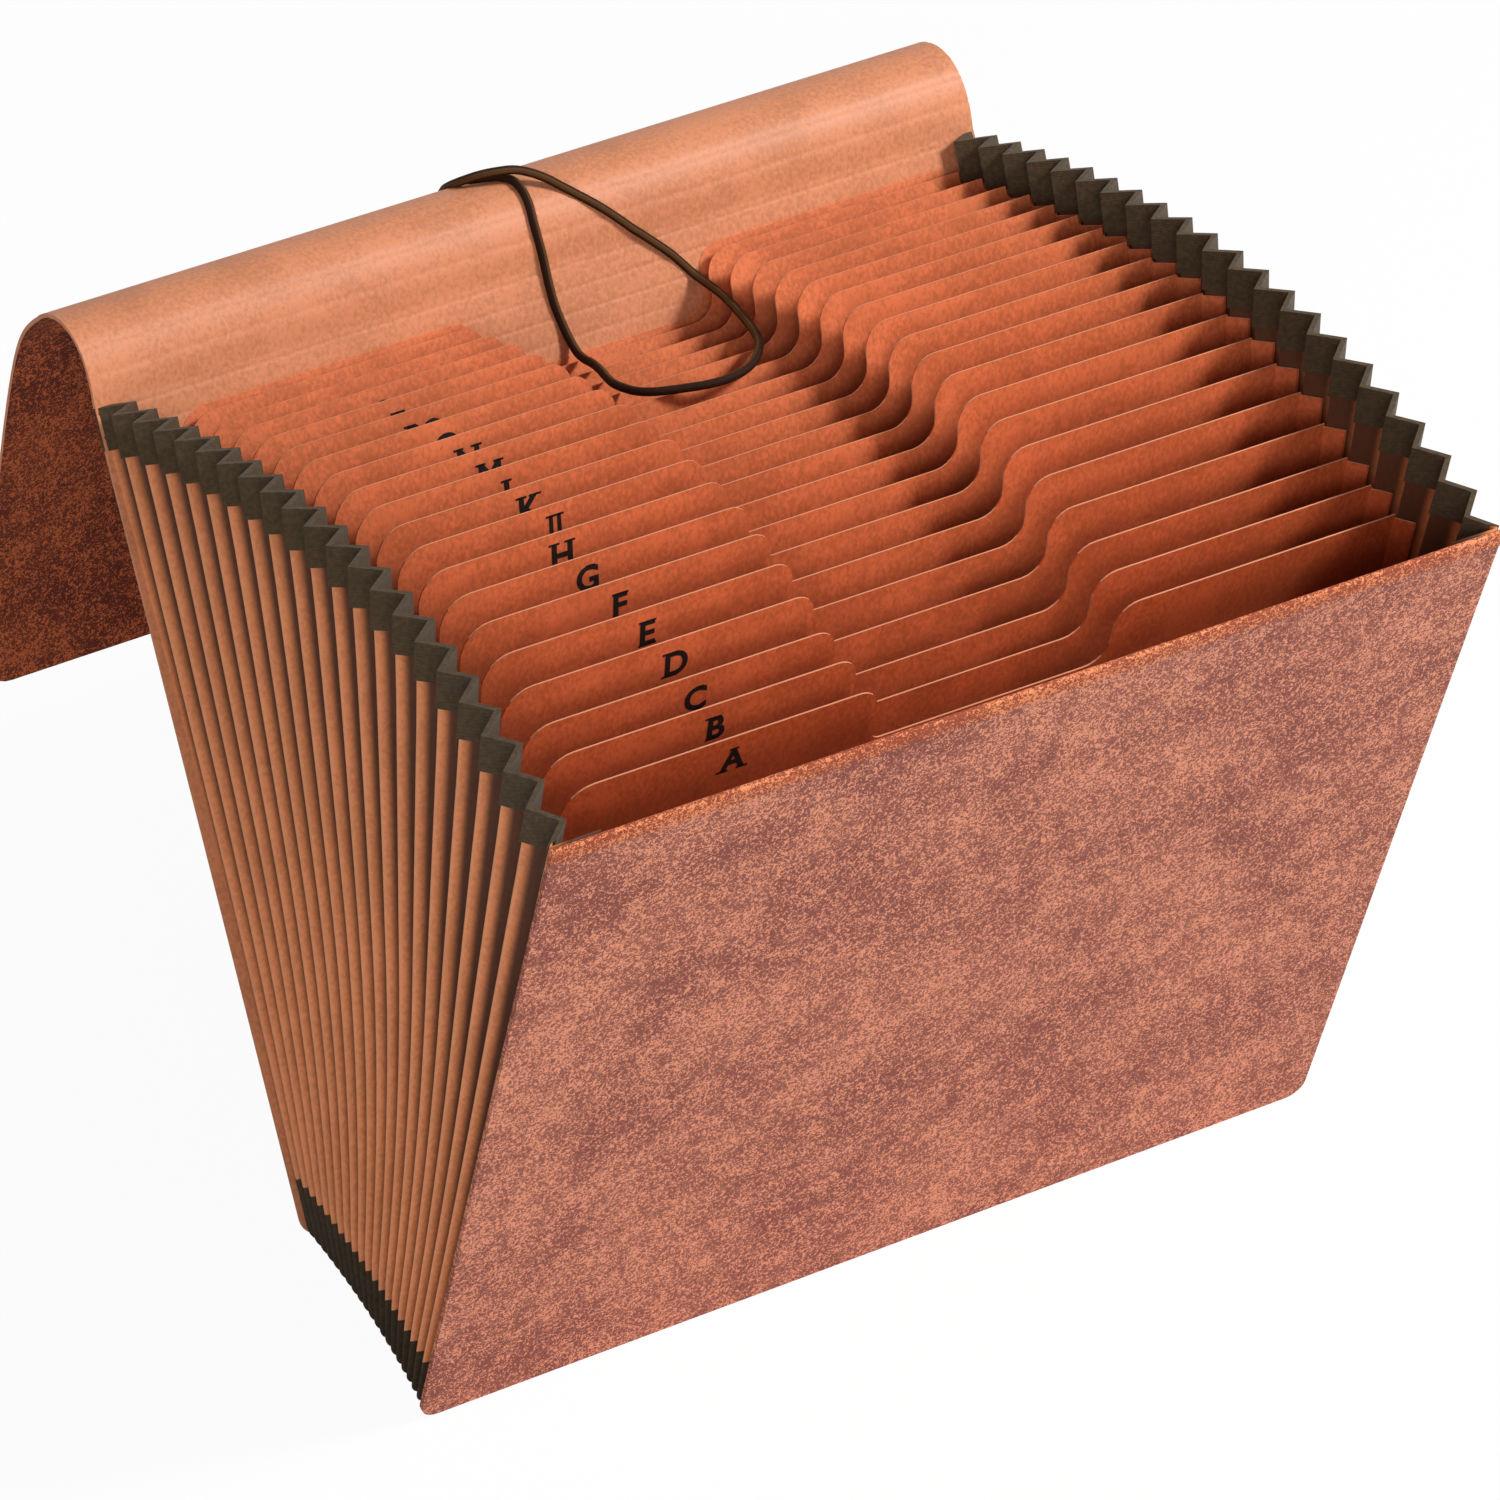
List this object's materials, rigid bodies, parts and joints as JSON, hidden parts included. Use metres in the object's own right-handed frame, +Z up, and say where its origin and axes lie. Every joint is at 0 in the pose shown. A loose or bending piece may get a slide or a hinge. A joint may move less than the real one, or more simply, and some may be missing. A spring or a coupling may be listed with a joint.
{
  "type": "expanding file",
  "caption": "Expanding file with a pleated gusset, lettered divider leaves and a folded-back flap with an elastic cord, fanned open and standing on its bottom.",
  "frame": {"origin": "middle of the file's outline on the surface it stands on", "axes": "+Z up, +X to the right along the front cover, -Y towards the front cover, +Y towards the flap"},
  "size_m": [0.3212, 0.3644, 0.2581],
  "materials": {
    "cover_paper": "leather-grain print with orange flecks",
    "gusset_paper": "matte",
    "leaf_paper": "matte",
    "tape_cloth": "fine linen weave",
    "cord": "braided cover",
    "eyelet_metal": "satin"
  },
  "bodies": {
    "root": {"front_cover": "cover_paper", "pleated_gusset": "gusset_paper", "top_tape_left": "tape_cloth", "top_tape_right": "tape_cloth", "divider_leaf_01": "leaf_paper", "divider_leaf_02": "leaf_paper", "divider_leaf_03": "leaf_paper", "divider_leaf_04": "leaf_paper", "divider_leaf_05": "leaf_paper", "divider_leaf_06": "leaf_paper", "divider_leaf_07": "leaf_paper", "divider_leaf_08": "leaf_paper", "divider_leaf_09": "leaf_paper", "divider_leaf_10": "leaf_paper", "divider_leaf_11": "leaf_paper", "divider_leaf_12": "leaf_paper", "divider_leaf_13": "leaf_paper", "divider_leaf_14": "leaf_paper", "divider_leaf_15": "leaf_paper", "divider_leaf_16": "leaf_paper", "divider_leaf_17": "leaf_paper", "divider_leaf_18": "leaf_paper", "divider_leaf_19": "leaf_paper", "divider_leaf_20": "leaf_paper", "back_cover_with_flap": "cover_paper", "cord_eyelet": "eyelet_metal", "cord_knot": "cord", "elastic_cord": "cord"}
  },
  "joints": []
}
